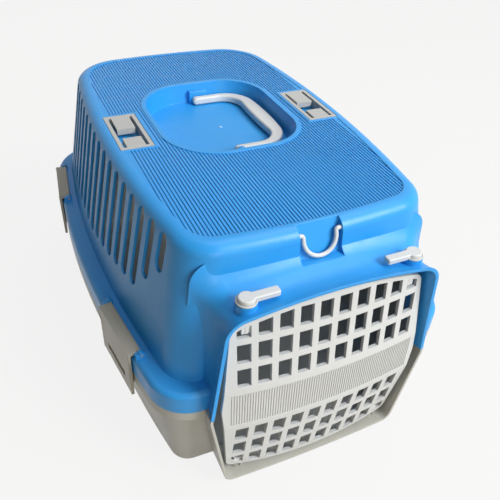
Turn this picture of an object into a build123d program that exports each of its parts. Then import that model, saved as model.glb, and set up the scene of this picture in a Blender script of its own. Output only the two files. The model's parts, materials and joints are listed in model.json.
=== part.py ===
from build123d import *
from math import asin, cos, degrees, radians, sin, sqrt, tan
import os

os.makedirs("parts", exist_ok=True)

# Millimetres. The carrier stands on z = 0, its door faces -Y and its length runs along Y.
# The origin is the middle of its footprint.

# Overall size
LENGTH = 486.0
WIDTH = 342.0
HEIGHT = 258.0
WALL = 2.6
PARTING = 110.0
FIT = 0.5
PIN_PLAY = 0.07
RUN_GAP = 0.6

# Plan outline of the rim, a barrel with its widest place a little behind the middle
RIM_FRONT = 18.0
RIM_FRONT_BOW = 3.0
RIM_WIDEST_Y = 15.0
RIM_SIDE_RADIUS = 1115.0
RIM_REAR_BOW = 9.0
RIM_FRONT_CORNER = 38.0
RIM_REAR_CORNER = 60.0

# Skirt of the top shell and rim of the tray
SKIRT_HEIGHT = 22.0
SKIRT_LEDGE = 12.0
SKIRT_ROUND = 5.0
BAND_HEIGHT = 10.0
BAND_STEP = 4.0
TRAY_DRAFT_INSET = 16.0
TRAY_FLOOR = 3.0
TRAY_BOTTOM_ROUND = 12.0
FOOT_RADIUS = 11.0
FOOT_X = 92.0
FOOT_Y = 150.0

# Deck
DECK_FRONT_LEAN = 29.0
DECK_FRONT_BOW = 8.0
DECK_REAR_LEAN = 21.0
DECK_SIDE_LEAN = 40.0
SHOULDER = 12.0
PANEL_MARGIN = 13.0
PANEL_DEPTH = 0.5
RIB_PITCH = 3.3
RIB_COUNT = 68
RIB_GROOVE = 1.5
RIB_DEPTH = 0.7

# Vents in the side walls, front to rear
VENT_COUNT = 16
VENT_PITCH = 20.8
VENT_FIRST_Y = -152.0
VENT_WIDTH = 13.0
VENT_BELOW_DECK = 6.0
VENT_BOTTOM = 150.0
VENT_STEP = 18.0
VENT_SHORTENED = 2
VENT_TAPER = 3.6
VENT_TAPERED = 8
VENT_REACH = 7.5
REAR_VENT_COUNT = 7
REAR_VENT_PITCH = 22.0
REAR_VENT_BELOW_DECK = 66.0
REAR_VENT_REACH = 40.0

# Collar round the door
COLLAR_FRONT = 6.0
COLLAR_DEPTH = 50.0
COLLAR_HALF_WIDTH = 112.0
COLLAR_HALF_TOP = 99.5
COLLAR_HALF_BOTTOM = 95.0
COLLAR_WIDEST_Z = 106.0
COLLAR_CORNER_TOP = 218.5
COLLAR_CORNER_BOTTOM = 6.0
COLLAR_TOP = 228.5
COLLAR_BOTTOM = 1.5
COLLAR_TOP_RADIUS = 20.0
COLLAR_BOTTOM_RADIUS = 12.0
COLLAR_LIP = 2.0
COLLAR_LIP_LENGTH = 6.0
NECK_BACK = 28.0
HOOD_BACK = 53.0
HOOD_SPREAD = 12.0
HOOD_BELOW_DECK = 5.0
HOOD_CORNER_BELOW_DECK = 16.0
NECK_RISE = 1.0

# Door: two leaves that lean back from a band, all bowed in plan
DOOR_THICK = 3.6
DOOR_BOW_RADIUS = 640.0
LEAF_LEAN = 7.0
BAND_TOP = 134.0
BAND_BOTTOM = 90.0
BAND_LEAN = 2.0
DOOR_HALF_WIDTH = 100.5
DOOR_HALF_TOP = 92.0
DOOR_HALF_BOTTOM = 91.0
DOOR_TOP = 218.0
DOOR_TOP_CORNER = 203.0
DOOR_BOTTOM = 6.5
DOOR_BOTTOM_CORNER = 18.0
DOOR_TOP_RADIUS = 10.0
DOOR_BOTTOM_RADIUS = 9.0
HOLE_WIDTH = 12.0
HOLE_HEIGHT = 19.5
HOLE_COLUMNS = 10
HOLE_ROWS = 3
COLUMN_PITCH = 18.0
ROW_PITCH = 26.0
UPPER_ROWS_Z = 176.0
LOWER_ROWS_Z = 48.5
DOOR_FRAME = 4.0
BAND_MARGIN = 3.0
BAND_RIB_PITCH = 2.4
BAND_RIB_COUNT = 78
BAND_RIB_GROOVE = 1.1
BAND_RIB_DEPTH = 0.6

# Door pins and the turning levers above them
HINGE_X = 78.0
HINGE_INSET = 20.5
HINGE_PIN = 2.2
BLADE_THICK = 2.6
BLADE_PLAY = 0.3
EAR_RADIUS = 4.6
EAR_TOP = 204.0
EAR_BOTTOM = 195.0
EAR_BRIDGE = 4.0
PIN_BOTTOM = 195.5
BLADE_TOP = 210.0
SEAT_RADIUS = 5.5
SEAT_TOP = 11.0
SEAT_GAP = 0.3
LUG_TOP = 22.0
LUG_BOTTOM = 15.0
LOWER_PIN_BOTTOM = 7.5
BOSS_RADIUS = 9.0
BOSS_TOP = 226.0
BOSS_BOTTOM = 202.0
LEVER_GAP = 0.3
LEVER_THICK = 4.6
LEVER_HEAD = 7.0
LEVER_LENGTH = 28.0
LEVER_BAR = 8.0

# Handle and its well
WELL_HALF_WIDTH = 70.0
WELL_FRONT = -54.0
WELL_REAR = 110.0
WELL_DEPTH = 21.0
WELL_CORNER = 46.0
WELL_ROUND = 53.0
WELL_SIDE_DRAFT = 4.0
WELL_FRONT_DRAFT = 12.0
WELL_RIM = 5.0
HANDLE_Y = 34.0
HANDLE_HALF_SPAN = 67.0
HANDLE_REACH = 63.0
HANDLE_SHOULDER = 56.5
HANDLE_THICK = 8.6
HANDLE_ROUND = 2.6
HANDLE_END_FLAT = 0.2
HANDLE_ARM = 8.0
HANDLE_CORNER = 34.0
HANDLE_INNER_CORNER = 22.0
GRIP_INNER = 45.0
HANDLE_PIN = 3.0
PIVOT_BOSS = 6.4

# Belt guides in the deck
GUIDE_X = 102.5
GUIDE_Y = 16.0
GUIDE_WIDTH = 33.0
GUIDE_LENGTH = 74.0
GUIDE_THICK = 3.0
GUIDE_FRAME = 4.0
GUIDE_POCKET = 10.0
GUIDE_SLOT = 3.2
FRONT_BRIDGE = 19.0
REAR_BRIDGE = 27.0

# Strap rings in their pockets
RING_HALF_WIDTH = 15.5
RING_WIRE = 1.9
RING_BEND = 2.4
RING_FLOOR_GAP = 0.6
RING_LEAN = 20.0
RING_BELOW_DECK = 7.5
RING_Y = 50.5
RING_POCKET_HALF = 20.0
RING_FLOOR_RISE = 1.5
RING_POCKET_FRONT = 21.0
RING_BACK_GAP = 4.0
REAR_RING_BELOW_DECK = 26.0
REAR_RING_Y = 23.5

# Side clips, hinged on the skirt and hooked under the band of the tray
CLIP_LENGTH = 71.0
FRONT_CLIP_Y = -126.0
REAR_CLIP_Y = 148.0
CLIP_THICK = 2.6
CLIP_GAP = 0.5
CLIP_AXIS_IN = 8.0
CLIP_BARREL = 1.9
CLIP_PIN = 1.3
CLIP_LUG_RADIUS = 3.2
CLIP_TOP_THICK = 3.2
FINGER_WIDTH = 42.0
FINGER_HEIGHT = 7.0
FINGER_DEPTH = 1.2
FINGER_Z = 96.0
CLIP_LUG = 5.0
CLIP_LUG_EDGE = 2.5
CLIP_HOOK = 2.6
CLIP_HOOK_THICK = 3.0
CLIP_BOTTOM = 81.0

FRONT = -LENGTH / 2
REAR = LENGTH / 2
SKIRT_TOP = PARTING + SKIRT_HEIGHT
LIP_Y = FRONT + COLLAR_FRONT
HINGE_Y = FRONT + HINGE_INSET
PIVOT_Z = HEIGHT - WELL_DEPTH + RUN_GAP + HANDLE_THICK / 2
WELL_DROP = (HEIGHT - PIVOT_Z) / WELL_DEPTH
WELL_FRONT_WALL = WELL_FRONT + WELL_FRONT_DRAFT * WELL_DROP
WELL_REAR_WALL = WELL_REAR - WELL_SIDE_DRAFT * WELL_DROP
HANDLE_FRONT_FACE = HANDLE_Y - HANDLE_HALF_SPAN
HANDLE_REAR_FACE = HANDLE_Y + HANDLE_HALF_SPAN
CLIP_AXIS_Z = SKIRT_TOP + CLIP_GAP + CLIP_BARREL
BAND_LOW = PARTING - BAND_HEIGHT
RIM_INSET = WALL + FIT
VENT_TOP = HEIGHT - VENT_BELOW_DECK
REAR_VENT_TOP = HEIGHT - REAR_VENT_BELOW_DECK
HOOD_RISE = HEIGHT - HOOD_BELOW_DECK - COLLAR_TOP
HOOD_CORNER_RISE = HEIGHT - HOOD_CORNER_BELOW_DECK - COLLAR_CORNER_TOP
RING_Z = HEIGHT - RING_BELOW_DECK
RING_POCKET_BOTTOM = COLLAR_TOP - COLLAR_LIP + NECK_RISE + RING_FLOOR_RISE
RING_HANG = (RING_Z - RING_POCKET_BOTTOM - RING_FLOOR_GAP) / cos(radians(RING_LEAN))
RING_DROP = RING_HANG - RING_WIRE
REAR_RING_Z = HEIGHT - REAR_RING_BELOW_DECK
CLIP_TOP = SKIRT_TOP + CLIP_GAP + CLIP_TOP_THICK


def side_arc_x(y):
    """Half width of the rim at a place along its length."""
    off = y - RIM_WIDEST_Y
    return WIDTH / 2 - RIM_SIDE_RADIUS + sqrt(RIM_SIDE_RADIUS**2 - off**2)


def plan_outline(inset, front_lean=0.0, rear_lean=0.0, side_lean=0.0, front_bow=RIM_FRONT_BOW):
    """Barrel outline of the rim seen from above, drawn in by the given amounts."""
    front = FRONT + RIM_FRONT + front_lean + inset
    front_side = front + front_bow
    rear = REAR - rear_lean - inset
    rear_side = rear - RIM_REAR_BOW
    half_front = side_arc_x(front_side) - side_lean - inset
    half_rear = side_arc_x(rear_side) - side_lean - inset
    half_mid = WIDTH / 2 - side_lean - inset
    with BuildSketch() as outline:
        with BuildLine():
            ThreePointArc((half_front, front_side), (0, front), (-half_front, front_side))
            ThreePointArc((-half_front, front_side), (-half_mid, RIM_WIDEST_Y), (-half_rear, rear_side))
            ThreePointArc((-half_rear, rear_side), (0, rear), (half_rear, rear_side))
            ThreePointArc((half_rear, rear_side), (half_mid, RIM_WIDEST_Y), (half_front, front_side))
        make_face()
        front_corners = outline.vertices().group_by(Axis.Y)[0]
        fillet(front_corners, radius=RIM_FRONT_CORNER - inset)
        rear_corners = outline.vertices().group_by(Axis.Y)[-1]
        fillet(rear_corners, radius=RIM_REAR_CORNER - inset)
    return outline.sketch


def deck_outline(inset):
    """Outline of the deck, drawn in from the rim on all sides."""
    return plan_outline(inset, DECK_FRONT_LEAN, DECK_REAR_LEAN, DECK_SIDE_LEAN, DECK_FRONT_BOW)


def clip_plane(side, y):
    """Upright plane across the rim at one clip: x points outward, y up."""
    lean = asin((y - RIM_WIDEST_Y) / RIM_SIDE_RADIUS)
    outward = Vector(side * cos(lean), sin(lean), 0)
    return Plane(
        origin=(side * side_arc_x(y), y, 0), x_dir=outward, z_dir=outward.cross(Vector(0, 0, 1))
    )


def cabin_core(skin):
    """Body above the rim: drafted walls from the rim up to the rounded shoulder of the deck."""
    with BuildPart() as core:
        with BuildSketch(Plane.XY.offset(PARTING)):
            add(plan_outline(SKIRT_LEDGE + skin))
        with BuildSketch(Plane.XY.offset(HEIGHT - skin)):
            add(deck_outline(skin))
        loft(ruled=True)
        fillet(core.edges().group_by(Axis.Z)[-1], radius=SHOULDER - skin)
    return core.part


def tray_core(skin):
    """Tub below the rim, drafted down to a rounded floor."""
    floor_z = TRAY_FLOOR + skin
    with BuildPart() as tub:
        with BuildSketch(Plane.XY.offset(floor_z)):
            add(plan_outline(BAND_STEP + TRAY_DRAFT_INSET + skin))
        with BuildSketch(Plane.XY.offset(PARTING)):
            add(plan_outline(BAND_STEP + skin))
        loft(ruled=True)
        fillet(tub.edges().group_by(Axis.Z)[0], radius=TRAY_BOTTOM_ROUND - skin)
    return tub.part


def collar_outline(inset, spread=0.0, rise=0.0, corner_rise=0.0):
    """Outline of the collar seen from the front; the upper half can be spread and raised."""
    low = (COLLAR_HALF_BOTTOM, COLLAR_CORNER_BOTTOM)
    mid = (COLLAR_HALF_WIDTH + spread, COLLAR_WIDEST_Z)
    high = (COLLAR_HALF_TOP + spread, COLLAR_CORNER_TOP + corner_rise)
    with BuildSketch() as outline:
        with BuildLine():
            ThreePointArc((-low[0], low[1]), (0, COLLAR_BOTTOM), low)
            Line(low, mid)
            Line(mid, high)
            ThreePointArc(high, (0, COLLAR_TOP + rise), (-high[0], high[1]))
            Line((-high[0], high[1]), (-mid[0], mid[1]))
            Line((-mid[0], mid[1]), (-low[0], low[1]))
        make_face()
        fillet(outline.vertices().group_by(Axis.Y)[-1], radius=COLLAR_TOP_RADIUS)
        fillet(outline.vertices().group_by(Axis.Y)[0], radius=COLLAR_BOTTOM_RADIUS)
        if inset != 0:
            offset(amount=-inset, kind=Kind.INTERSECTION)
    return outline.sketch


def hood(skin):
    """Upper half of the collar: from the lip back over the door and up into the deck."""
    front = LIP_Y - skin
    neck_front = LIP_Y + COLLAR_LIP_LENGTH
    neck_back = LIP_Y + NECK_BACK
    back = FRONT + HOOD_BACK + skin
    with BuildPart() as form:
        with BuildSketch(Plane.XZ.offset(-front)):
            add(collar_outline(skin))
        with BuildSketch(Plane.XZ.offset(-neck_front)):
            add(collar_outline(skin + COLLAR_LIP))
        with BuildSketch(Plane.XZ.offset(-neck_back)):
            add(collar_outline(skin + COLLAR_LIP, rise=NECK_RISE, corner_rise=NECK_RISE))
        with BuildSketch(Plane.XZ.offset(-back)):
            add(collar_outline(skin, HOOD_SPREAD, HOOD_RISE, HOOD_CORNER_RISE))
        loft()
        split(bisect_by=Plane.XY.offset(PARTING), keep=Keep.TOP)
    return form.part


def lower_collar(skin):
    """Lower half of the collar, a short straight sleeve on the front of the tub."""
    with BuildPart() as sleeve:
        with BuildSketch(Plane.XZ.offset(skin - LIP_Y)):
            add(collar_outline(skin))
        extrude(amount=-COLLAR_DEPTH - 2 * skin)
        split(bisect_by=Plane.XY.offset(PARTING), keep=Keep.BOTTOM)
    return sleeve.part


def skirt(inset, low, high):
    """Band that follows the rim between two heights."""
    with BuildPart() as band:
        with BuildSketch(Plane.XY.offset(low)):
            add(plan_outline(inset))
        extrude(amount=high - low)
    return band.part


def well_outline(grow, side_draft=0.0, front_draft=0.0):
    """Outline of the handle well seen from above, rounder on the side away from the grip."""
    front = WELL_FRONT + front_draft - grow
    rear = WELL_REAR - side_draft + grow
    with BuildSketch() as outline:
        with Locations((0, (front + rear) / 2)):
            Rectangle(2 * (WELL_HALF_WIDTH - side_draft + grow), rear - front)
        fillet(outline.vertices().group_by(Axis.X)[0], radius=WELL_ROUND - side_draft + grow)
        fillet(outline.vertices().group_by(Axis.X)[-1], radius=WELL_CORNER - side_draft + grow)
    return outline.sketch


def well(grow):
    """Hollow of the handle well, wider at the top than at its floor."""
    with BuildPart() as hollow:
        with BuildSketch(Plane.XY.offset(HEIGHT)):
            add(well_outline(grow))
        with BuildSketch(Plane.XY.offset(HEIGHT - WELL_DEPTH - grow)):
            add(well_outline(grow, WELL_SIDE_DRAFT, WELL_FRONT_DRAFT))
        loft(ruled=True)
    return hollow.part


def panel_face():
    """Face of the ribbed panel: the deck without its margin, the rim of the well and the guides."""
    with BuildSketch() as face:
        add(deck_outline(PANEL_MARGIN))
        add(well_outline(WELL_RIM), mode=Mode.SUBTRACT)
        with Locations((-GUIDE_X, GUIDE_Y), (GUIDE_X, GUIDE_Y)):
            Rectangle(
                GUIDE_WIDTH + 2 * (FIT + WALL), GUIDE_LENGTH + 2 * (FIT + WALL), mode=Mode.SUBTRACT
            )
    return face.sketch


def guide_pocket(grow):
    """Hollows under the two belt guides."""
    with BuildPart() as hollow:
        with BuildSketch(Plane.XY.offset(HEIGHT)):
            with Locations((-GUIDE_X, GUIDE_Y), (GUIDE_X, GUIDE_Y)):
                Rectangle(GUIDE_WIDTH + 2 * (FIT + grow), GUIDE_LENGTH + 2 * (FIT + grow))
        extrude(amount=-GUIDE_POCKET - grow)
    return hollow.part


def ring_pocket(grow):
    """Hollow behind the front strap ring; its back wall leans with the ring."""
    run = tan(radians(RING_LEAN))
    back_y = FRONT + RING_Y + RING_BACK_GAP + grow
    top = HEIGHT + SHOULDER
    bottom = RING_POCKET_BOTTOM - grow
    with BuildPart() as hollow:
        with BuildSketch(Plane.YZ):
            with BuildLine():
                Polyline(
                    (back_y + (top - RING_Z) * run, top),
                    (back_y - (RING_Z - bottom) * run, bottom),
                    (FRONT + RING_POCKET_FRONT, bottom),
                    (FRONT + RING_POCKET_FRONT, top),
                    close=True,
                )
            make_face()
        extrude(amount=RING_POCKET_HALF + grow, both=True)
    return hollow.part


def rear_ring_pocket(grow):
    """Hollow behind the rear strap ring, cut into the rear wall."""
    top = REAR_RING_Z + SHOULDER / 2 + grow
    bottom = REAR_RING_Z - RING_DROP - 2 * RING_WIRE - grow
    with BuildPart() as hollow:
        with BuildSketch(Plane.XZ.offset(-REAR)):
            with Locations((0, (top + bottom) / 2)):
                Rectangle(2 * (RING_POCKET_HALF + grow), top - bottom)
        extrude(amount=REAR_RING_Y + RING_BACK_GAP + grow)
    return hollow.part


# Top shell
with BuildPart() as cabin_hollow:
    add(cabin_core(WALL))
    add(hood(WALL))
    add(skirt(WALL, PARTING - WALL, SKIRT_TOP - WALL))
    add(well(WALL), mode=Mode.SUBTRACT)
    add(guide_pocket(WALL), mode=Mode.SUBTRACT)
    add(ring_pocket(WALL), mode=Mode.SUBTRACT)
    add(rear_ring_pocket(WALL), mode=Mode.SUBTRACT)

with BuildPart() as side_vents:
    for side in (-1, 1):
        for number in range(VENT_COUNT):
            vent_y = VENT_FIRST_Y + number * VENT_PITCH
            raised = VENT_STEP * max(VENT_SHORTENED - number, 0)
            raised += VENT_TAPER * max(VENT_TAPERED - number, 0)
            height = VENT_TOP - VENT_BOTTOM - raised
            inner_x = side_arc_x(vent_y) - DECK_SIDE_LEAN - VENT_REACH
            with BuildSketch(Plane.YZ.offset(side * inner_x)):
                with Locations((vent_y, VENT_TOP - height / 2)):
                    SlotOverall(height, VENT_WIDTH, rotation=90)
            extrude(amount=side * WIDTH / 2)

with BuildPart() as rear_vents:
    with BuildSketch(Plane.XZ.offset(-REAR)):
        with Locations((0, (REAR_VENT_TOP + VENT_BOTTOM) / 2)):
            with GridLocations(REAR_VENT_PITCH, 0, REAR_VENT_COUNT, 1):
                SlotOverall(REAR_VENT_TOP - VENT_BOTTOM, VENT_WIDTH, rotation=90)
    extrude(amount=REAR_VENT_REACH)

with BuildPart() as top_shell:
    add(skirt(0, PARTING, SKIRT_TOP))
    fillet(top_shell.edges().group_by(Axis.Z)[-1], radius=SKIRT_ROUND)
    add(cabin_core(0))
    add(hood(0))
    with BuildSketch(Plane.XY.offset(BOSS_TOP)):
        with Locations((-HINGE_X, HINGE_Y), (HINGE_X, HINGE_Y)):
            Circle(BOSS_RADIUS)
    extrude(amount=BOSS_BOTTOM - BOSS_TOP)
    add(cabin_hollow.part, mode=Mode.SUBTRACT)
    # recessed panel of the deck with its fine ribs
    with BuildSketch(Plane.XY.offset(HEIGHT)):
        add(panel_face())
    extrude(amount=-PANEL_DEPTH, mode=Mode.SUBTRACT)
    with BuildSketch(Plane.XY.offset(HEIGHT)):
        with GridLocations(RIB_PITCH, 0, RIB_COUNT, 1):
            Rectangle(RIB_GROOVE, LENGTH)
        add(panel_face(), mode=Mode.INTERSECT)
    extrude(amount=-PANEL_DEPTH - RIB_DEPTH, mode=Mode.SUBTRACT)
    add(well(0), mode=Mode.SUBTRACT)
    add(guide_pocket(0), mode=Mode.SUBTRACT)
    add(ring_pocket(0), mode=Mode.SUBTRACT)
    add(rear_ring_pocket(0), mode=Mode.SUBTRACT)
    add(side_vents.part, mode=Mode.SUBTRACT)
    add(rear_vents.part, mode=Mode.SUBTRACT)
    # bosses in the well that hold the handle's pins
    for face_y, wall_y, way in (
        (HANDLE_REAR_FACE, WELL_REAR_WALL, 1),
        (HANDLE_FRONT_FACE, WELL_FRONT_WALL, -1),
    ):
        with BuildSketch(Plane.XZ.offset(-wall_y - way * WALL / 2)):
            with Locations((0, PIVOT_Z)):
                Circle(PIVOT_BOSS)
        extrude(amount=wall_y - face_y - way * (RUN_GAP - WALL / 2))
    # holes for the pins of handle, levers and rings
    with BuildSketch(Plane.XZ.offset(-WELL_REAR - WALL)):
        with Locations((0, PIVOT_Z)):
            Circle(HANDLE_PIN + PIN_PLAY)
    extrude(amount=WELL_REAR - WELL_FRONT + 2 * WALL, mode=Mode.SUBTRACT)
    with BuildSketch(Plane.XY.offset(BOSS_TOP)):
        with Locations((-HINGE_X, HINGE_Y), (HINGE_X, HINGE_Y)):
            Circle(HINGE_PIN + PIN_PLAY)
    extrude(amount=EAR_TOP - BOSS_TOP, mode=Mode.SUBTRACT)
    for ring_y, ring_z in ((FRONT + RING_Y, RING_Z), (REAR - REAR_RING_Y, REAR_RING_Z)):
        with BuildSketch(Plane.YZ):
            with Locations((ring_y, ring_z)):
                Circle(RING_WIRE + PIN_PLAY)
        extrude(amount=RING_POCKET_HALF + 2 * WALL, both=True, mode=Mode.SUBTRACT)
    # lugs on the skirt for the pins of the four clips
    for side in (-1, 1):
        for clip_y in (FRONT_CLIP_Y, REAR_CLIP_Y):
            for end in (-1, 1):
                lug_start = end * (CLIP_LENGTH / 2 + CLIP_GAP)
                lug_low = SKIRT_TOP - WALL / 2
                lug_back = CLIP_AXIS_IN + CLIP_LUG_RADIUS
                lug_middle = (-(lug_back + CLIP_LUG_EDGE) / 2, (lug_low + CLIP_TOP) / 2)
                with BuildSketch(clip_plane(side, clip_y).offset(lug_start)):
                    with Locations((-CLIP_AXIS_IN, CLIP_AXIS_Z)):
                        Circle(CLIP_LUG_RADIUS)
                    with Locations(lug_middle):
                        Rectangle(lug_back - CLIP_LUG_EDGE, CLIP_TOP - lug_low)
                    with Locations((-CLIP_AXIS_IN, CLIP_AXIS_Z)):
                        Circle(CLIP_PIN + PIN_PLAY, mode=Mode.SUBTRACT)
                extrude(amount=end * CLIP_LUG)

top_shell.part.label = "top_shell"
export_step(top_shell.part, "parts/top_shell.step")

# Bottom tray
with BuildPart() as tray_hollow:
    add(tray_core(WALL))
    add(skirt(RIM_INSET + WALL, PARTING, SKIRT_TOP))
    add(lower_collar(WALL))
    add(hood(WALL))

with BuildPart() as bottom_tray:
    add(tray_core(0))
    add(skirt(0, BAND_LOW, PARTING))
    add(skirt(RIM_INSET, PARTING, SKIRT_TOP - WALL - FIT))
    add(lower_collar(0))
    add(tray_hollow.part, mode=Mode.SUBTRACT)
    # seats for the lower pins of the door, open to the front
    with BuildSketch(Plane.XY.offset(SEAT_TOP)):
        with Locations((-HINGE_X, HINGE_Y), (HINGE_X, HINGE_Y)):
            Circle(SEAT_RADIUS)
    extrude(amount=COLLAR_CORNER_BOTTOM - SEAT_TOP)
    with BuildSketch(Plane.XY.offset(LOWER_PIN_BOTTOM - SEAT_GAP)):
        with Locations((-HINGE_X, HINGE_Y), (HINGE_X, HINGE_Y)):
            Circle(HINGE_PIN + PIN_PLAY)
        with Locations((-HINGE_X, HINGE_Y - SEAT_RADIUS), (HINGE_X, HINGE_Y - SEAT_RADIUS)):
            Rectangle(2 * (HINGE_PIN + SEAT_GAP), 2 * SEAT_RADIUS)
    extrude(amount=SEAT_TOP, mode=Mode.SUBTRACT)
    # feet
    with BuildSketch():
        with GridLocations(2 * FOOT_X, 2 * FOOT_Y, 2, 2):
            Circle(FOOT_RADIUS)
    extrude(amount=TRAY_FLOOR + WALL / 2)

bottom_tray.part.label = "bottom_tray"
export_step(bottom_tray.part, "parts/bottom_tray.step")


def door_outline(inset):
    """Front outline of the door, drawn in by an inset."""
    low = (DOOR_HALF_BOTTOM, DOOR_BOTTOM_CORNER)
    mid = (DOOR_HALF_WIDTH, (BAND_TOP + BAND_BOTTOM) / 2)
    high = (DOOR_HALF_TOP, DOOR_TOP_CORNER)
    with BuildSketch() as outline:
        with BuildLine():
            ThreePointArc((-low[0], low[1]), (0, DOOR_BOTTOM), low)
            Line(low, mid)
            Line(mid, high)
            ThreePointArc(high, (0, DOOR_TOP), (-high[0], high[1]))
            Line((-high[0], high[1]), (-mid[0], mid[1]))
            Line((-mid[0], mid[1]), (-low[0], low[1]))
        make_face()
        fillet(outline.vertices().group_by(Axis.Y)[-1], radius=DOOR_TOP_RADIUS)
        fillet(outline.vertices().group_by(Axis.Y)[0], radius=DOOR_BOTTOM_RADIUS)
        if inset != 0:
            offset(amount=-inset, kind=Kind.INTERSECTION)
    return outline.sketch


# Door
bow_axis_y = FRONT + DOOR_BOW_RADIUS
bow_arc = degrees(asin(DOOR_HALF_WIDTH / DOOR_BOW_RADIUS)) + 1
leaf_run = tan(radians(LEAF_LEAN))
top_set_back = BAND_LEAN + (DOOR_TOP + WALL - BAND_TOP) * leaf_run
bottom_set_back = (BAND_BOTTOM - DOOR_BOTTOM + WALL) * leaf_run

with BuildPart() as door:
    with BuildSketch(Plane.YZ) as section:
        with BuildLine():
            Polyline(
                (FRONT + top_set_back, DOOR_TOP + WALL),
                (FRONT + BAND_LEAN, BAND_TOP),
                (FRONT, BAND_BOTTOM),
                (FRONT + bottom_set_back, DOOR_BOTTOM - WALL),
                (FRONT + bottom_set_back + DOOR_THICK, DOOR_BOTTOM - WALL),
                (FRONT + DOOR_THICK, BAND_BOTTOM),
                (FRONT + BAND_LEAN + DOOR_THICK, BAND_TOP),
                (FRONT + top_set_back + DOOR_THICK, DOOR_TOP + WALL),
                close=True,
            )
        make_face()
    revolve(axis=Axis((0, bow_axis_y, 0), (0, 0, 1)), revolution_arc=bow_arc)
    revolve(section.sketch, axis=Axis((0, bow_axis_y, 0), (0, 0, -1)), revolution_arc=bow_arc)
    with BuildSketch(Plane.XZ.offset(-FRONT)):
        add(door_outline(0))
    extrude(amount=HOOD_BACK, both=True, mode=Mode.INTERSECT)
    with BuildSketch(Plane.XZ.offset(-FRONT)):
        for rows_z in (UPPER_ROWS_Z, LOWER_ROWS_Z):
            with Locations((0, rows_z)):
                with GridLocations(COLUMN_PITCH, ROW_PITCH, HOLE_COLUMNS, HOLE_ROWS):
                    Rectangle(HOLE_WIDTH, HOLE_HEIGHT)
        add(door_outline(DOOR_FRAME), mode=Mode.INTERSECT)
    extrude(amount=HOOD_BACK, both=True, mode=Mode.SUBTRACT)
    # upright ribs of the band
    band_rise = BAND_TOP - BAND_BOTTOM
    groove_low = BAND_BOTTOM + BAND_MARGIN
    with BuildSketch(Plane.XY.offset(groove_low)):
        for number in range(BAND_RIB_COUNT):
            rib_x = (number - (BAND_RIB_COUNT - 1) / 2) * BAND_RIB_PITCH
            face_y = bow_axis_y - sqrt(DOOR_BOW_RADIUS**2 - rib_x**2) + BAND_LEAN * BAND_MARGIN / band_rise
            with Locations((rib_x, face_y)):
                Rectangle(BAND_RIB_GROOVE, 2 * BAND_RIB_DEPTH)
    extrude(amount=band_rise - 2 * BAND_MARGIN, dir=(0, BAND_LEAN / band_rise, 1), mode=Mode.SUBTRACT)
    # ears that take the pins of the levers, open to the rear for the flattened pin
    with BuildSketch(Plane.XY.offset(EAR_BOTTOM)):
        for side in (-1, 1):
            with Locations((side * HINGE_X, HINGE_Y)):
                Circle(EAR_RADIUS)
            with Locations((side * HINGE_X, HINGE_Y - EAR_BRIDGE / 2)):
                Rectangle(2 * EAR_RADIUS, EAR_BRIDGE)
    extrude(amount=EAR_TOP - EAR_BOTTOM)
    with BuildSketch(Plane.XY.offset(EAR_BOTTOM)):
        for side in (-1, 1):
            with Locations((side * HINGE_X, HINGE_Y)):
                Circle(HINGE_PIN + PIN_PLAY)
            with Locations((side * HINGE_X, HINGE_Y + EAR_RADIUS)):
                Rectangle(BLADE_THICK + 2 * BLADE_PLAY, 2 * EAR_RADIUS)
    extrude(amount=DOOR_TOP - EAR_BOTTOM, mode=Mode.SUBTRACT)
    # lugs with the lower pins
    with BuildSketch(Plane.XY.offset(LUG_BOTTOM)):
        for side in (-1, 1):
            with Locations((side * HINGE_X, HINGE_Y)):
                Circle(EAR_RADIUS)
            with Locations((side * HINGE_X, HINGE_Y - EAR_BRIDGE / 2)):
                Rectangle(2 * EAR_RADIUS, EAR_BRIDGE)
    extrude(amount=LUG_TOP - LUG_BOTTOM)
    with BuildSketch(Plane.XY.offset(LOWER_PIN_BOTTOM)):
        with Locations((-HINGE_X, HINGE_Y), (HINGE_X, HINGE_Y)):
            Circle(HINGE_PIN)
    extrude(amount=LUG_BOTTOM - LOWER_PIN_BOTTOM)

door.part.label = "door"
export_step(door.part, "parts/door.step")

# Door levers: a bar on a round head, with a pin flattened where it passes the ear of the door
for side, name in ((-1, "left_lever"), (1, "right_lever")):
    with BuildPart() as lever:
        with BuildSketch(Plane.XY.offset(BOSS_TOP + LEVER_GAP)) as lever_plan:
            with Locations((side * (HINGE_X - LEVER_LENGTH / 2), HINGE_Y)):
                Rectangle(LEVER_LENGTH, LEVER_BAR)
            free_end = lever_plan.vertices().group_by(Axis.X)[-1 if side < 0 else 0]
            fillet(free_end, radius=LEVER_BAR / 4)
            with Locations((side * HINGE_X, HINGE_Y)):
                Circle(LEVER_HEAD)
        extrude(amount=LEVER_THICK)
        fillet(lever.edges().group_by(Axis.Z)[-1], radius=LEVER_THICK / 4)
        with BuildSketch(Plane.XY.offset(BOSS_TOP + LEVER_GAP)):
            with Locations((side * HINGE_X, HINGE_Y)):
                Circle(HINGE_PIN)
        extrude(amount=BLADE_TOP - BOSS_TOP - LEVER_GAP)
        with BuildSketch(Plane.XY.offset(BLADE_TOP)):
            with Locations((side * HINGE_X, HINGE_Y)):
                Circle(HINGE_PIN)
                Rectangle(BLADE_THICK, 2 * HINGE_PIN, mode=Mode.INTERSECT)
        extrude(amount=PIN_BOTTOM - BLADE_TOP)
    lever.part.label = name
    export_step(lever.part, f"parts/{name}.step")

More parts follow.
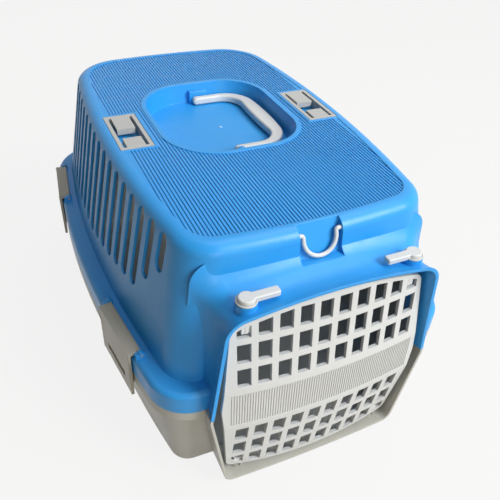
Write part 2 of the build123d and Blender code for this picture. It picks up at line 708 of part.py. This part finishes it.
# Carry handle
with BuildPart() as carry_handle:
    with BuildSketch(Plane.XY.offset(PIVOT_Z - HANDLE_THICK / 2)) as bail:
        with BuildLine():
            end_x = -HANDLE_THICK / 2
            inner_y = HANDLE_HALF_SPAN - HANDLE_ARM
            inner_x = HANDLE_SHOULDER - HANDLE_ARM
            Line((end_x, HANDLE_HALF_SPAN), (HANDLE_SHOULDER, HANDLE_HALF_SPAN))
            ThreePointArc(
                (HANDLE_SHOULDER, HANDLE_HALF_SPAN), (HANDLE_REACH, 0), (HANDLE_SHOULDER, -HANDLE_HALF_SPAN)
            )
            Line((HANDLE_SHOULDER, -HANDLE_HALF_SPAN), (end_x, -HANDLE_HALF_SPAN))
            Line((end_x, -HANDLE_HALF_SPAN), (end_x, -inner_y))
            Line((end_x, -inner_y), (inner_x, -inner_y))
            ThreePointArc((inner_x, -inner_y), (GRIP_INNER, 0), (inner_x, inner_y))
            Line((inner_x, inner_y), (end_x, inner_y))
            Line((end_x, inner_y), (end_x, HANDLE_HALF_SPAN))
        make_face()
        fillet(bail.vertices().group_by(Axis.X)[-1], radius=HANDLE_CORNER)
        inner_corners = bail.vertices().filter_by_position(Axis.X, inner_x - 1, inner_x + 1)
        fillet(inner_corners, radius=HANDLE_INNER_CORNER)
    extrude(amount=HANDLE_THICK)
    end_edges = carry_handle.edges().filter_by(Axis.Y).group_by(Axis.X)[0]
    fillet(end_edges, radius=HANDLE_THICK / 2 - HANDLE_END_FLAT)
    flat_faces = carry_handle.faces().filter_by(Axis.Z)
    fillet(flat_faces.edges().filter_by(Axis.Y, reverse=True), radius=HANDLE_ROUND)
    for face_y, wall_y, way in (
        (HANDLE_HALF_SPAN, WELL_REAR_WALL - HANDLE_Y, 1),
        (-HANDLE_HALF_SPAN, WELL_FRONT_WALL - HANDLE_Y, -1),
    ):
        with BuildSketch(Plane.XZ.offset(-face_y)):
            with Locations((0, PIVOT_Z)):
                Circle(HANDLE_PIN)
        extrude(amount=face_y - wall_y - way * WALL)
carry_handle_placed = carry_handle.part.moved(Location((0, HANDLE_Y, 0)))
carry_handle_placed.label = "carry_handle"
export_step(carry_handle_placed, "parts/carry_handle.step")

# Belt guides: a frame that stands in its pocket, with two bridges over the belt
for side, name in ((-1, "left_belt_guide"), (1, "right_belt_guide")):
    window_width = GUIDE_WIDTH - 2 * GUIDE_FRAME
    window_length = GUIDE_LENGTH - 2 * GUIDE_FRAME
    with BuildPart() as guide:
        with BuildSketch(Plane.XY.offset(HEIGHT - GUIDE_POCKET)):
            with Locations((side * GUIDE_X, GUIDE_Y)):
                Rectangle(GUIDE_WIDTH, GUIDE_LENGTH)
                Rectangle(window_width, window_length, mode=Mode.SUBTRACT)
        extrude(amount=GUIDE_POCKET)
        with BuildSketch(Plane.XY.offset(HEIGHT)):
            with Locations((side * GUIDE_X, GUIDE_Y - window_length / 2 + FRONT_BRIDGE / 2)):
                Rectangle(window_width - 2 * GUIDE_SLOT, FRONT_BRIDGE)
            with Locations((side * GUIDE_X, GUIDE_Y + window_length / 2 - REAR_BRIDGE / 2)):
                Rectangle(window_width - 2 * GUIDE_SLOT, REAR_BRIDGE)
        extrude(amount=-GUIDE_THICK)
    guide.part.label = name
    export_step(guide.part, f"parts/{name}.step")


def strap_ring(plane):
    """U ring of round wire, its ends bent out into pins; the plane's origin is on its hinge line."""
    straight = RING_DROP - RING_HALF_WIDTH
    pin_end = RING_POCKET_HALF + WALL
    bend_x = RING_HALF_WIDTH + RING_BEND
    with BuildPart() as ring:
        with BuildLine(plane):
            Line((pin_end, 0), (bend_x, 0))
            CenterArc((bend_x, -RING_BEND), RING_BEND, 90, 90)
            Line((RING_HALF_WIDTH, -RING_BEND), (RING_HALF_WIDTH, -straight))
            CenterArc((0, -straight), RING_HALF_WIDTH, 0, -180)
            Line((-RING_HALF_WIDTH, -straight), (-RING_HALF_WIDTH, -RING_BEND))
            CenterArc((-bend_x, -RING_BEND), RING_BEND, 0, 90)
            Line((-bend_x, 0), (-pin_end, 0))
        with BuildSketch(Plane(origin=plane.from_local_coords((pin_end, 0, 0)), z_dir=-plane.x_dir)):
            Circle(RING_WIRE)
        sweep()
    return ring.part


# Strap rings
lean = radians(RING_LEAN)
front_plane = Plane(
    origin=(0, FRONT + RING_Y, RING_Z), x_dir=(1, 0, 0), z_dir=(0, -cos(lean), sin(lean))
)
rear_plane = Plane(origin=(0, REAR - REAR_RING_Y, REAR_RING_Z), x_dir=(-1, 0, 0), z_dir=(0, 1, 0))
for plane, name in ((front_plane, "front_strap_ring"), (rear_plane, "rear_strap_ring")):
    ring_part = strap_ring(plane)
    ring_part.label = name
    export_step(ring_part, f"parts/{name}.step")

# Side clips
for side, side_name in ((-1, "left"), (1, "right")):
    for clip_y, end_name in ((FRONT_CLIP_Y, "front"), (REAR_CLIP_Y, "rear")):
        rim_plane = clip_plane(side, clip_y)
        top_low = SKIRT_TOP + CLIP_GAP
        outer = CLIP_GAP + CLIP_THICK
        hook_top = BAND_LOW - CLIP_GAP
        with BuildPart() as clip:
            with BuildSketch(rim_plane):
                with BuildLine():
                    Polyline(
                        (-CLIP_AXIS_IN, top_low),
                        (CLIP_GAP, top_low),
                        (CLIP_GAP, hook_top),
                        (CLIP_GAP - CLIP_HOOK, hook_top),
                        (CLIP_GAP, hook_top - CLIP_HOOK_THICK),
                        (CLIP_GAP, CLIP_BOTTOM),
                        (outer, CLIP_BOTTOM),
                        (outer, CLIP_TOP),
                        (-CLIP_AXIS_IN, CLIP_TOP),
                        close=True,
                    )
                make_face()
                with Locations((-CLIP_AXIS_IN, CLIP_AXIS_Z)):
                    Circle(CLIP_BARREL)
            extrude(amount=CLIP_LENGTH / 2, both=True)
            # finger recess low on the outer face
            with BuildSketch(rim_plane):
                with Locations((outer, FINGER_Z)):
                    Rectangle(2 * FINGER_DEPTH, FINGER_HEIGHT)
            extrude(amount=FINGER_WIDTH / 2, both=True, mode=Mode.SUBTRACT)
            with BuildSketch(rim_plane):
                with Locations((-CLIP_AXIS_IN, CLIP_AXIS_Z)):
                    Circle(CLIP_PIN)
            extrude(amount=CLIP_LENGTH / 2 + CLIP_GAP + CLIP_LUG, both=True)
        name = f"{end_name}_{side_name}_clip"
        clip.part.label = name
        export_step(clip.part, f"parts/{name}.step")
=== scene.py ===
import json
import math

import bpy
from mathutils import Matrix, Vector


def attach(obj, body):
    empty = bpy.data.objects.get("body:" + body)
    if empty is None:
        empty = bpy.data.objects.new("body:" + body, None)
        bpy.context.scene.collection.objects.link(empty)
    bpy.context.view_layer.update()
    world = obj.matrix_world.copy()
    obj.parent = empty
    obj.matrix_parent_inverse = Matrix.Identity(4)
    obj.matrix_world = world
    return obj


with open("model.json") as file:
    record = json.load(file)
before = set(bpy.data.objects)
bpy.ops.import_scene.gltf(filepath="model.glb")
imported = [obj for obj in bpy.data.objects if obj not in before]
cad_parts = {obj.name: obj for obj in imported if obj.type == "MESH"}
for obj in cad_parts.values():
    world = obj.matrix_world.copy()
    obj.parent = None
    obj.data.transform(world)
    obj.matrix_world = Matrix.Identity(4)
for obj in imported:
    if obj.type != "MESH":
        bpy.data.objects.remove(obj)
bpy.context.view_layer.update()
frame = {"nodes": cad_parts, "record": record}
bpy.ops.object.select_all(action="DESELECT")

# Camera held above the front left corner, looking down on the deck and the door
EYE = Vector((-0.2220, -0.5084, 0.5273))
AZIMUTH, ELEVATION, ROLL = -0.467318, 0.666259, 0.0641756
FOCAL_PIXELS, PHOTO_PIXELS, SENSOR = 577.22, 500.0, 36.0

back = Vector((
    math.sin(AZIMUTH) * math.cos(ELEVATION),
    -math.cos(AZIMUTH) * math.cos(ELEVATION),
    math.sin(ELEVATION),
))
level = Vector((math.cos(AZIMUTH), math.sin(AZIMUTH), 0.0))
upright = back.cross(level)
right = math.cos(ROLL) * level + math.sin(ROLL) * upright
above = math.cos(ROLL) * upright - math.sin(ROLL) * level
bpy.ops.object.camera_add()
camera = bpy.context.object
camera.name = "camera"
camera.matrix_world = Matrix.Translation(EYE) @ Matrix((right, above, back)).transposed().to_4x4()
camera.data.sensor_width = SENSOR
camera.data.lens = FOCAL_PIXELS * SENSOR / PHOTO_PIXELS
camera.data.clip_start = 0.01
bpy.context.scene.camera = camera
bpy.context.scene.view_settings.view_transform = "Standard"

# Places of the sockets that are picked by number
OBJECT_COORDINATES = 3
COLOUR_A, COLOUR_B, MIXED_COLOUR = 6, 7, 2
CAMERA_RAY, GLOSSY_RAY, TRANSMISSION_RAY = 0, 3, 6

WHITE = (1.0, 1.0, 1.0, 1.0)


class Wire:
    """One socket in a material; arithmetic on it adds Math nodes."""

    def __init__(self, tree, socket=None):
        self.tree = tree
        self.socket = socket

    def node(self, kind, settings=None, values=None, out=0):
        """Adds a node: its settings first, then the values or links of its sockets."""
        made = self.tree.nodes.new(kind)
        for name, value in (settings or {}).items():
            setattr(made, name, value)
        for name, value in (values or {}).items():
            if isinstance(value, Wire):
                self.tree.links.new(value.socket, made.inputs[name])
            else:
                made.inputs[name].default_value = value
        return Wire(self.tree, made.outputs[out]) if made.outputs else made

    def math(self, operation, first, second):
        return self.node("ShaderNodeMath", {"operation": operation}, {0: first, 1: second})

    def __add__(self, other):
        return self.math("ADD", self, other)

    __radd__ = __add__

    def __mul__(self, other):
        return self.math("MULTIPLY", self, other)

    __rmul__ = __mul__

    def __sub__(self, other):
        return self.math("SUBTRACT", self, other)

    def __rsub__(self, other):
        return self.math("SUBTRACT", other, self)

    def scaled(self, stretch):
        """The same coordinates stretched along each axis."""
        return self.node(
            "ShaderNodeVectorMath", {"operation": "MULTIPLY"}, {0: self, 1: stretch},
        )

    def grain(self, scale, detail=2.0, rough=0.5):
        """Noise on the piece's own coordinates."""
        return self.node(
            "ShaderNodeTexNoise", {},
            {"Vector": self, "Scale": scale, "Detail": detail, "Roughness": rough},
        )

    def between(self, low, high, start=0.0, end=1.0):
        """This value stretched from low..high to start..end."""
        return self.node(
            "ShaderNodeMapRange", {},
            {"Value": self, "From Min": low, "From Max": high, "To Min": start, "To Max": end},
        )

    def blend(self, first, second):
        """A colour from first to second as this value goes from 0 to 1."""
        return self.node(
            "ShaderNodeMix", {"data_type": "RGBA"},
            {"Factor": self, COLOUR_A: first, COLOUR_B: second}, out=MIXED_COLOUR,
        )

    def background_ray(self):
        """1 on the rays that show the white background straight, mirrored or through glass."""
        seen = self.node("ShaderNodeLightPath", out=CAMERA_RAY)
        mirrored = self.node("ShaderNodeLightPath", out=GLOSSY_RAY)
        through = self.node("ShaderNodeLightPath", out=TRANSMISSION_RAY)
        return seen + mirrored + through


def blank(name):
    """A new material and the wire to its Object coordinates."""
    material = bpy.data.materials.new(name)
    material.use_nodes = True
    material.node_tree.nodes.clear()
    start = Wire(material.node_tree)
    return material, start.node("ShaderNodeTexCoord", out=OBJECT_COORDINATES)


def finish(wire, surface):
    """Joins the finished surface to the material's output."""
    wire.node("ShaderNodeOutputMaterial", {}, {"Surface": surface})


SHEEN = 0.42
STIPPLE_STRENGTH = 0.7
RUB_DULLING, SCUFF_DULLING = 0.08, 0.06
SOFTENING_SAMPLES = 6


def moulded(name, colour, dull, pale, rough, stipple, stipple_scale, edge=0.0007):
    """Moulded plastic: flow marks, rubbed high spots, faint scuffs and a fine stippled skin."""
    material, place = blank(name)
    flow = place.grain(scale=7.0, detail=3.0, rough=0.55).between(0.35, 0.65)
    tone = flow.blend((*colour, 1.0), (*dull, 1.0))
    drawn = place.scaled((1.0, 0.35, 1.0))
    bloom = drawn.grain(scale=38.0, detail=4.0, rough=0.6).between(0.5, 0.85, end=0.35)
    tone = bloom.blend(tone, (*pale, 1.0))
    rub = place.grain(scale=60.0, detail=4.0, rough=0.6).between(0.4, 0.7)
    streaks = place.scaled((1.0, 14.0, 3.0))
    scuff = streaks.grain(scale=90.0, detail=3.0, rough=0.7).between(0.55, 0.72)
    skin = place.grain(stipple_scale, rough=0.6)
    softened = place.node("ShaderNodeBevel", {"samples": SOFTENING_SAMPLES}, {"Radius": edge})
    bump = place.node(
        "ShaderNodeBump", {},
        {"Height": skin, "Distance": stipple, "Strength": STIPPLE_STRENGTH, "Normal": softened},
    )
    roughness = rub * RUB_DULLING + scuff * SCUFF_DULLING + rough
    surface = place.node(
        "ShaderNodeBsdfPrincipled", {},
        {"Base Color": tone, "Roughness": roughness, "Normal": bump, "Specular IOR Level": SHEEN},
    )
    finish(place, surface)
    return material


BLUE = moulded(
    "blue_plastic", (0.026, 0.318, 0.745), (0.022, 0.295, 0.710), (0.050, 0.350, 0.760),
    rough=0.34, stipple=0.00005, stipple_scale=1500.0, edge=0.0009,
)
# Painted shade: the tray is the same light grey plastic as the trim, but its colour is darkened and
# warmed to stand for the shade that falls on it
TRAY_GREY_SHADE_PAINTED = moulded(
    "grey_plastic_with_painted_shade", (0.470, 0.460, 0.408), (0.445, 0.435, 0.383), (0.520, 0.512, 0.468),
    rough=0.40, stipple=0.00006, stipple_scale=1100.0,
)
# Painted shade: the clips are the same light grey plastic as the trim, their colour darkened and
# yellowed to stand for the shade on the carrier's sides
CLIP_GREY_SHADE_PAINTED = moulded(
    "clip_plastic_painted_shade", (0.430, 0.400, 0.330), (0.405, 0.375, 0.305), (0.480, 0.450, 0.385),
    rough=0.36, stipple=0.00005, stipple_scale=1300.0,
)
PALE = moulded(
    "light_grey_plastic", (0.640, 0.640, 0.625), (0.610, 0.608, 0.590), (0.690, 0.690, 0.680),
    rough=0.32, stipple=0.00004, stipple_scale=1500.0, edge=0.0006,
)
# Painted shade: the belt guides and their lips are the same light grey plastic as the trim, their
# colour darkened to stand for the duller light on them
GUIDE_GREY_SHADE_PAINTED = moulded(
    "belt_guide_plastic_painted_shade", (0.480, 0.478, 0.460), (0.450, 0.447, 0.430), (0.540, 0.538, 0.525),
    rough=0.34, stipple=0.00005, stipple_scale=1300.0, edge=0.0006,
)
GATE_BLUE = moulded(
    "stressed_blue_plastic", (0.300, 0.560, 0.820), (0.260, 0.520, 0.800), (0.420, 0.640, 0.840),
    rough=0.26, stipple=0.00003, stipple_scale=1500.0,
)

FINISHES = {"shell": BLUE, "tray": TRAY_GREY_SHADE_PAINTED, "clip": CLIP_GREY_SHADE_PAINTED, "trim": PALE}
for part in frame["record"]["subparts"]:
    node = frame["nodes"][part["node"]]
    node.data.materials.clear()
    guide = part["node"].endswith("belt_guide")
    node.data.materials.append(GUIDE_GREY_SHADE_PAINTED if guide else FINISHES[part["material_slot"]])


def cube(centre, size):
    """A block whose place and size are held in its mesh."""
    bpy.ops.mesh.primitive_cube_add(size=1.0, location=centre)
    block = bpy.context.object
    block.scale = size
    bpy.ops.object.transform_apply(location=True, rotation=False, scale=True)
    return block


def disc(centre, radius, thick, sides):
    """A flat round blank."""
    bpy.ops.mesh.primitive_cylinder_add(vertices=sides, radius=radius, depth=thick, location=centre)
    return bpy.context.object


# How squarely a face must look up, down or outward to be picked as that side of its piece
FACING = 0.9


def pick(piece, wanted, kind="FACE"):
    """In edit mode, selects only the faces or vertices of the piece that the test accepts."""
    bpy.ops.object.mode_set(mode="EDIT")
    bpy.ops.mesh.select_mode(type=kind)
    bpy.ops.mesh.select_all(action="DESELECT")
    bpy.ops.object.mode_set(mode="OBJECT")
    for item in piece.data.polygons if kind == "FACE" else piece.data.vertices:
        item.select = wanted(item)
    bpy.ops.object.mode_set(mode="EDIT")


def bored(piece, centre, radius, length):
    """Bores a hole along Y through the piece."""
    bpy.ops.object.mode_set(mode="OBJECT")
    bpy.ops.mesh.primitive_cylinder_add(
        vertices=48, radius=radius, depth=length, location=centre, rotation=(math.pi / 2, 0, 0),
    )
    drill = bpy.context.object
    bpy.ops.object.select_all(action="DESELECT")
    piece.select_set(True)
    bpy.context.view_layer.objects.active = piece
    hole = piece.modifiers.new("hole", "BOOLEAN")
    hole.object = drill
    hole.operation = "DIFFERENCE"
    bpy.ops.object.modifier_apply(modifier=hole.name)
    bpy.data.objects.remove(drill)


EDGE_STEPS = 3
CREASE = math.radians(35)


def settle(piece, name, body, material, edge):
    """Rounds the edges, brings the object to the origin and lets it ride on its body."""
    bpy.ops.object.mode_set(mode="OBJECT")
    piece.name = name
    piece.data.name = name
    rounding = piece.modifiers.new("rounded edges", "BEVEL")
    rounding.width = edge
    rounding.segments = EDGE_STEPS
    rounding.limit_method = "ANGLE"
    bpy.ops.object.modifier_apply(modifier=rounding.name)
    bpy.ops.object.transform_apply(location=True, rotation=True, scale=True)
    bpy.ops.object.mode_set(mode="EDIT")
    bpy.ops.mesh.select_all(action="SELECT")
    bpy.ops.mesh.normals_make_consistent(inside=False)
    bpy.ops.object.mode_set(mode="OBJECT")
    bpy.ops.object.shade_smooth_by_angle(angle=CREASE)
    piece.data.materials.append(material)
    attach(piece, body)
    bpy.ops.object.select_all(action="DESELECT")


# Thickened part of the well's wall round the handle's rear pin; its back leans with the wall
BLOCK_LEFT, BLOCK_RIGHT = -0.0068, 0.0150
BLOCK_LOW, BLOCK_HIGH = 0.2367, 0.2508
BLOCK_FRONT, BLOCK_BACK_LOW, BLOCK_BACK_HIGH = 0.1017, 0.1068, 0.1094
PIN_X, PIN_Z, PIN_HOLE, DRILL_LENGTH = 0.0, 0.2419, 0.0031, 0.05

middle_y = (BLOCK_FRONT + BLOCK_BACK_LOW) / 2
middle_z = (BLOCK_LOW + BLOCK_HIGH) / 2
block = cube(
    ((BLOCK_LEFT + BLOCK_RIGHT) / 2, middle_y, middle_z),
    (BLOCK_RIGHT - BLOCK_LEFT, BLOCK_BACK_LOW - BLOCK_FRONT, BLOCK_HIGH - BLOCK_LOW),
)
pick(block, lambda vertex: vertex.co.y > middle_y and vertex.co.z > middle_z, "VERT")
bpy.ops.transform.translate(value=(0, BLOCK_BACK_HIGH - BLOCK_BACK_LOW, 0))
bored(block, (PIN_X, BLOCK_FRONT, PIN_Z), PIN_HOLE, DRILL_LENGTH)
settle(block, "rear_pivot_block", "carrier", BLUE, edge=0.0006)

# Small mark left by the mould's gate in the floor of the well
GATE_PLACE = (0.0051, 0.0335, 0.2371)
GATE_RADIUS, GATE_THICK = 0.0021, 0.0006
GATE_SLOPE, GATE_RISE = 0.0009, 0.0003

gate = disc(GATE_PLACE, GATE_RADIUS, GATE_THICK, sides=32)
pick(gate, lambda face: face.normal.z > FACING)
bpy.ops.mesh.inset(thickness=GATE_SLOPE, depth=GATE_RISE)
settle(gate, "gate_mark", "carrier", GATE_BLUE, edge=0.00012)

SIDES = ((-1, "left"), (1, "right"))

# Dials under the heads of the two door levers, each with a raised rim
DIAL_X, DIAL_Y, DIAL_Z = 0.078, -0.2225, 0.22700
DIAL_RADIUS, DIAL_THICK = 0.0088, 0.0013
DIAL_RIM, DIAL_SUNK = 0.0008, 0.0007

for side, side_name in SIDES:
    dial = disc((side * DIAL_X, DIAL_Y, DIAL_Z), DIAL_RADIUS, DIAL_THICK, sides=64)
    pick(dial, lambda face: face.normal.z > FACING)
    bpy.ops.mesh.inset(thickness=DIAL_RIM)
    bpy.ops.mesh.extrude_region_move(TRANSFORM_OT_translate={"value": (0, 0, -DIAL_SUNK)})
    lever = side_name + "_lever"
    settle(dial, lever + "_dial", lever, PALE, edge=0.00025)

# Rolled free edges of the belt guides' bridges
LIP_X, LIP_Z = 0.1025, 0.2534
LIP_WIDE, LIP_THICK, LIP_TALL = 0.0184, 0.0026, 0.0046
LIP_WALL = 0.0007
BRIDGE_EDGES = ((0.0020, -1, "front"), (0.0220, 1, "rear"))

for side, side_name in SIDES:
    for edge_y, way, bridge in BRIDGE_EDGES:
        lip = cube(
            (side * LIP_X, edge_y + way * LIP_THICK / 2, LIP_Z), (LIP_WIDE, LIP_THICK, LIP_TALL),
        )
        pick(lip, lambda face: face.normal.z < -FACING)
        bpy.ops.mesh.inset(thickness=LIP_WALL)
        name = side_name + "_guide_" + bridge + "_lip"
        settle(lip, name, "carrier", GUIDE_GREY_SHADE_PAINTED, edge=0.0008)

# The rim's long sides are arcs of one large circle, seen from above
RIM_HALF_WIDTH, RIM_RADIUS, RIM_WIDEST_Y = 0.171, 1.115, 0.015


def rim_side(side, y):
    """Frame of the rim at one clip: outward, along the rim, up, from its outer face."""
    lean = math.asin((y - RIM_WIDEST_Y) / RIM_RADIUS)
    outward = Vector((side * math.cos(lean), math.sin(lean), 0))
    half = RIM_HALF_WIDTH - RIM_RADIUS + math.sqrt(RIM_RADIUS**2 - (y - RIM_WIDEST_Y)**2)
    along = Vector((0, 0, 1)).cross(outward)
    turn = Matrix((outward, along, Vector((0, 0, 1)))).transposed().to_4x4()
    return Matrix.Translation((side * half, y, 0)) @ turn


# Raised borders on the ends of the side clips
BORDER_RISE, BORDER_WIDE, BORDER_TALL = 0.0020, 0.0018, 0.0540
BORDER_OUT, BORDER_ALONG, BORDER_Z = 0.0024, 0.0345, 0.1085
BORDER_CROWN = 0.0004
CLIP_PLACES = ((-0.126, "front"), (0.148, "rear"))
CLIP_ENDS = ((-1, "a"), (1, "b"))

for side, side_name in SIDES:
    for clip_y, end_name in CLIP_PLACES:
        for end, tag in CLIP_ENDS:
            border = cube((0, 0, 0), (BORDER_RISE, BORDER_WIDE, BORDER_TALL))
            pick(border, lambda face: face.normal.x > FACING)
            bpy.ops.mesh.inset(thickness=BORDER_CROWN)
            bpy.ops.object.mode_set(mode="OBJECT")
            seat = Matrix.Translation((BORDER_OUT, end * BORDER_ALONG, BORDER_Z))
            border.matrix_world = rim_side(side, clip_y) @ seat
            bpy.context.view_layer.update()
            body = end_name + "_" + side_name + "_clip"
            settle(border, body + "_border_" + tag, body, CLIP_GREY_SHADE_PAINTED, edge=0.0004)

FLOOR_SIZE, FLOOR_Z = 60.0, -0.0002
FLOOR_DARK, FLOOR_PALE, FLOOR_ROUGH = 0.44, 0.46, 0.9
FLOOR_GREEN, FLOOR_BLUE = 0.96, 0.88
FLOOR_WHITE_SHARE = 0.86


def floor_finish():
    """Matt pale floor, brightened where the camera sees it so that it reads as white."""
    material, place = blank("pale_floor")
    spread = place.grain(scale=3.0).between(0.3, 0.7, FLOOR_DARK, FLOOR_PALE)
    cream = place.node(
        "ShaderNodeCombineColor", {}, {0: spread, 1: spread * FLOOR_GREEN, 2: spread * FLOOR_BLUE},
    )
    matt = place.node(
        "ShaderNodeBsdfPrincipled", {}, {"Base Color": cream, "Roughness": FLOOR_ROUGH},
    )
    glow = place.node("ShaderNodeEmission", {}, {"Color": WHITE, "Strength": 1.0})
    share = place.background_ray() * FLOOR_WHITE_SHARE
    finish(place, place.node("ShaderNodeMixShader", {}, {0: share, 1: matt, 2: glow}))
    return material


bpy.ops.mesh.primitive_plane_add(size=FLOOR_SIZE, location=(0, 0, FLOOR_Z))
floor = bpy.context.object
floor.name = "floor"
floor.data.materials.append(floor_finish())

LIT_POINT = Vector((0, 0, 0.12))


def lamp(name, place, size, watts, tint=(1.0, 1.0, 1.0)):
    """A square soft lamp that faces the middle of the carrier."""
    bpy.ops.object.light_add(type="AREA", location=place)
    light = bpy.context.object
    light.name = name
    light.data.size = size
    light.data.energy = watts
    light.data.color = tint
    light.rotation_euler = (Vector(place) - LIT_POINT).to_track_quat("Z", "Y").to_euler()


lamp("window", (1.20, -1.72, 1.65), size=1.2, watts=68.0, tint=(0.95, 0.98, 1.0))
lamp("ceiling", (0.7, 0.1, 2.2), size=1.6, watts=22.0)
lamp("warm_wall", (-1.6, -1.4, 0.5), size=1.2, watts=0.7, tint=(1.0, 0.74, 0.42))
lamp("front_fill", (-0.25, -2.2, 0.75), size=0.6, watts=9.0, tint=(1.0, 0.95, 0.86))

ROOM_LIGHT = 0.06

world = bpy.data.worlds.new("studio")
bpy.context.scene.world = world
world.use_nodes = True
world.node_tree.nodes.clear()
sky = Wire(world.node_tree)
ambient = sky.node("ShaderNodeBackground", {}, {"Color": WHITE, "Strength": ROOM_LIGHT})
white = sky.node("ShaderNodeBackground", {}, {"Color": WHITE, "Strength": 1.0})
mixed = sky.node("ShaderNodeMixShader", {}, {0: sky.background_ray(), 1: ambient, 2: white})
sky.node("ShaderNodeOutputWorld", {}, {"Surface": mixed})
